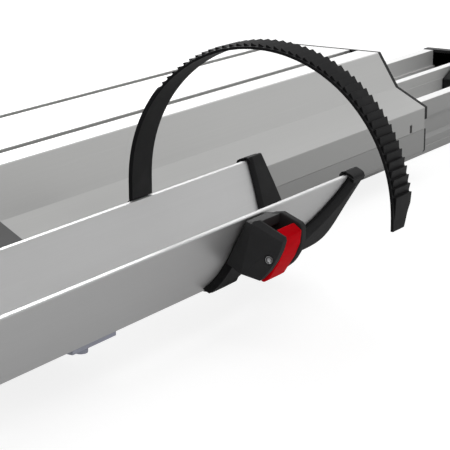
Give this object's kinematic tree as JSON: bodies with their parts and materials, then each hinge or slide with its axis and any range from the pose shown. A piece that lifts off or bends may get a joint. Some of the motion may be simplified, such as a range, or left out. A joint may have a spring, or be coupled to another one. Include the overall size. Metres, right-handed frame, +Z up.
{
  "type": "slide-out bike carrier",
  "caption": "Slide-out bike carrier: a carriage with ribbed cover, wheel gutters, ratchet straps and a rod-operated latch that rolls along a fixed floor rail",
  "frame": {"origin": "on the floor under the middle of the fixed rail, at the centre of its four floor holes", "axes": "+X along the rails toward the rear end, +Y to the far side, +Z up"},
  "size_m": [2.1932, 0.5732, 0.1743],
  "materials": {
    "fixed_rail_metal": "satin anodised extrusion",
    "cover_metal": "satin anodised extrusion",
    "side_rail_metal": "satin anodised extrusion",
    "gutter_metal": "satin anodised extrusion",
    "cap_plastic": "fine-grained black moulding",
    "catch_plastic": "smooth black nylon",
    "holder_plastic": "grained black moulding",
    "buckle_plastic": "grained black moulding",
    "anchor_plastic": "grained black moulding",
    "strap_plastic": "smooth black elastomer with worn teeth",
    "lever_red": "glossy red moulding",
    "pawl_metal": "cast zinc",
    "frame_steel": "zinc-plated sheet",
    "arm_paint": "grey powder coat",
    "bar_zinc": "bluish zinc plating",
    "screw_steel": "zinc-plated",
    "pin_steel": "ground steel",
    "latch_steel": "zinc-plated plate",
    "spring_steel": "blued spring strip",
    "roller_nylon": "dark grey nylon",
    "grip_rubber": "matt black rubber"
  },
  "bodies": {
    "base": {"base_rail": "fixed_rail_metal", "base_cap_rear": "cap_plastic", "base_cap_front": "cap_plastic", "catch_rear": "catch_plastic", "catch_front": "catch_plastic", "front_glides": "catch_plastic"},
    "carriage": {"side_rails": "side_rail_metal", "side_rail_caps": "cap_plastic", "deck_cover": "cover_metal", "deck_cap_rear": "cap_plastic", "deck_cap_front": "cap_plastic", "cross_members": "frame_steel", "cross_screws": "screw_steel", "roller_brackets": "frame_steel", "roller_axles": "pin_steel", "groove_pads": "catch_plastic", "arm_plates": "arm_paint", "arm_screws": "screw_steel", "gutter_bars": "bar_zinc", "bar_screws": "screw_steel", "gutter_bolts": "bar_zinc", "gutter_near": "gutter_metal", "gutter_far": "gutter_metal", "holder_near_rear": "holder_plastic", "holder_near_front": "holder_plastic", "holder_far_rear": "holder_plastic", "holder_far_front": "holder_plastic", "buckle_near_rear": "buckle_plastic", "buckle_near_front": "buckle_plastic", "buckle_far_rear": "buckle_plastic", "buckle_far_front": "buckle_plastic", "lever_pins": "pin_steel", "pawl_pins": "pin_steel", "pawl_springs": "spring_steel", "strap_anchors": "anchor_plastic", "strap_pins": "pin_steel", "rod_guides": "catch_plastic", "latch_bracket": "frame_steel", "latch_pin": "pin_steel"},
    "roller_near_inner": {"roller_near_inner": "roller_nylon"},
    "roller_near_outer": {"roller_near_outer": "roller_nylon"},
    "roller_far_inner": {"roller_far_inner": "roller_nylon"},
    "roller_far_outer": {"roller_far_outer": "roller_nylon"},
    "lever_near_rear": {"lever_near_rear": "lever_red"},
    "pawl_near_rear": {"pawl_near_rear": "pawl_metal"},
    "strap_near_rear": {"strap_near_rear": "strap_plastic"},
    "lever_near_front": {"lever_near_front": "lever_red"},
    "pawl_near_front": {"pawl_near_front": "pawl_metal"},
    "strap_near_front": {"strap_near_front": "strap_plastic"},
    "lever_far_rear": {"lever_far_rear": "lever_red"},
    "pawl_far_rear": {"pawl_far_rear": "pawl_metal"},
    "strap_far_rear": {"strap_far_rear": "strap_plastic"},
    "lever_far_front": {"lever_far_front": "lever_red"},
    "pawl_far_front": {"pawl_far_front": "pawl_metal"},
    "strap_far_front": {"strap_far_front": "strap_plastic"},
    "release": {"release_rod": "pin_steel", "release_grip": "grip_rubber"},
    "latch": {"latch_pawl": "latch_steel"}
  },
  "joints": [
    {"name": "carriage_slide", "type": "slide", "parent": "base", "child": "carriage", "axis": [-1, 0, 0], "range_m": [-0.33, 0.865]},
    {"name": "roller_near_inner_turn", "type": "hinge", "parent": "carriage", "child": "roller_near_inner", "pos_m": [0.09, -0.03, 0.0193], "axis": [0, -1, 0], "continuous": true},
    {"name": "roller_near_outer_turn", "type": "hinge", "parent": "carriage", "child": "roller_near_outer", "pos_m": [0.5, -0.03, 0.0193], "axis": [0, -1, 0], "continuous": true},
    {"name": "roller_far_inner_turn", "type": "hinge", "parent": "carriage", "child": "roller_far_inner", "pos_m": [0.09, 0.03, 0.0193], "axis": [0, -1, 0], "continuous": true},
    {"name": "roller_far_outer_turn", "type": "hinge", "parent": "carriage", "child": "roller_far_outer", "pos_m": [0.5, 0.03, 0.0193], "axis": [0, -1, 0], "continuous": true},
    {"name": "lever_near_rear_turn", "type": "hinge", "parent": "carriage", "child": "lever_near_rear", "pos_m": [0.1485, -0.212, 0.0546], "axis": [1, 0, 0], "range_deg": [0, 35]},
    {"name": "pawl_near_rear_turn", "type": "hinge", "parent": "carriage", "child": "pawl_near_rear", "pos_m": [0.1485, -0.2008, 0.0611], "axis": [1, 0, 0], "range_deg": [0, 10]},
    {"name": "strap_near_rear_turn", "type": "hinge", "parent": "carriage", "child": "strap_near_rear", "pos_m": [0.1485, -0.1128, 0.0671], "axis": [-1, 0, 0], "range_deg": [0, 30]},
    {"name": "lever_near_front_turn", "type": "hinge", "parent": "carriage", "child": "lever_near_front", "pos_m": [-0.9105, -0.212, 0.0546], "axis": [1, 0, 0], "range_deg": [0, 35]},
    {"name": "pawl_near_front_turn", "type": "hinge", "parent": "carriage", "child": "pawl_near_front", "pos_m": [-0.9105, -0.2008, 0.0611], "axis": [1, 0, 0], "range_deg": [0, 10]},
    {"name": "strap_near_front_turn", "type": "hinge", "parent": "carriage", "child": "strap_near_front", "pos_m": [-0.9105, -0.1128, 0.0671], "axis": [-1, 0, 0], "range_deg": [0, 30]},
    {"name": "lever_far_rear_turn", "type": "hinge", "parent": "carriage", "child": "lever_far_rear", "pos_m": [0.1485, 0.212, 0.0546], "axis": [-1, 0, 0], "range_deg": [0, 35]},
    {"name": "pawl_far_rear_turn", "type": "hinge", "parent": "carriage", "child": "pawl_far_rear", "pos_m": [0.1485, 0.2008, 0.0611], "axis": [-1, 0, 0], "range_deg": [0, 10]},
    {"name": "strap_far_rear_turn", "type": "hinge", "parent": "carriage", "child": "strap_far_rear", "pos_m": [0.1485, 0.1128, 0.0671], "axis": [1, 0, 0], "range_deg": [0, 30]},
    {"name": "lever_far_front_turn", "type": "hinge", "parent": "carriage", "child": "lever_far_front", "pos_m": [-0.9105, 0.212, 0.0546], "axis": [-1, 0, 0], "range_deg": [0, 35]},
    {"name": "pawl_far_front_turn", "type": "hinge", "parent": "carriage", "child": "pawl_far_front", "pos_m": [-0.9105, 0.2008, 0.0611], "axis": [-1, 0, 0], "range_deg": [0, 10]},
    {"name": "strap_far_front_turn", "type": "hinge", "parent": "carriage", "child": "strap_far_front", "pos_m": [-0.9105, 0.1128, 0.0671], "axis": [1, 0, 0], "range_deg": [0, 30]},
    {"name": "release_pull", "type": "slide", "parent": "carriage", "child": "release", "axis": [1, 0, 0], "range_m": [0, 0.006]},
    {"name": "latch_turn", "type": "hinge", "parent": "carriage", "child": "latch", "pos_m": [0.518, -0.00985, 0.0614], "axis": [0, 1, 0], "range_deg": [0, 14.5]}
  ],
  "couplings": [
    {"joint": "roller_near_inner_turn", "follows": "carriage_slide", "rad_per_m": 66.667},
    {"joint": "roller_near_outer_turn", "follows": "carriage_slide", "rad_per_m": 66.667},
    {"joint": "roller_far_inner_turn", "follows": "carriage_slide", "rad_per_m": 66.667},
    {"joint": "roller_far_outer_turn", "follows": "carriage_slide", "rad_per_m": 66.667},
    {"joint": "pawl_near_rear_turn", "follows": "lever_near_rear_turn", "ratio": 0.25},
    {"joint": "pawl_near_front_turn", "follows": "lever_near_front_turn", "ratio": 0.25},
    {"joint": "pawl_far_rear_turn", "follows": "lever_far_rear_turn", "ratio": 0.25},
    {"joint": "pawl_far_front_turn", "follows": "lever_far_front_turn", "ratio": 0.25},
    {"joint": "latch_turn", "follows": "release_pull", "rad_per_m": 41.667}
  ]
}
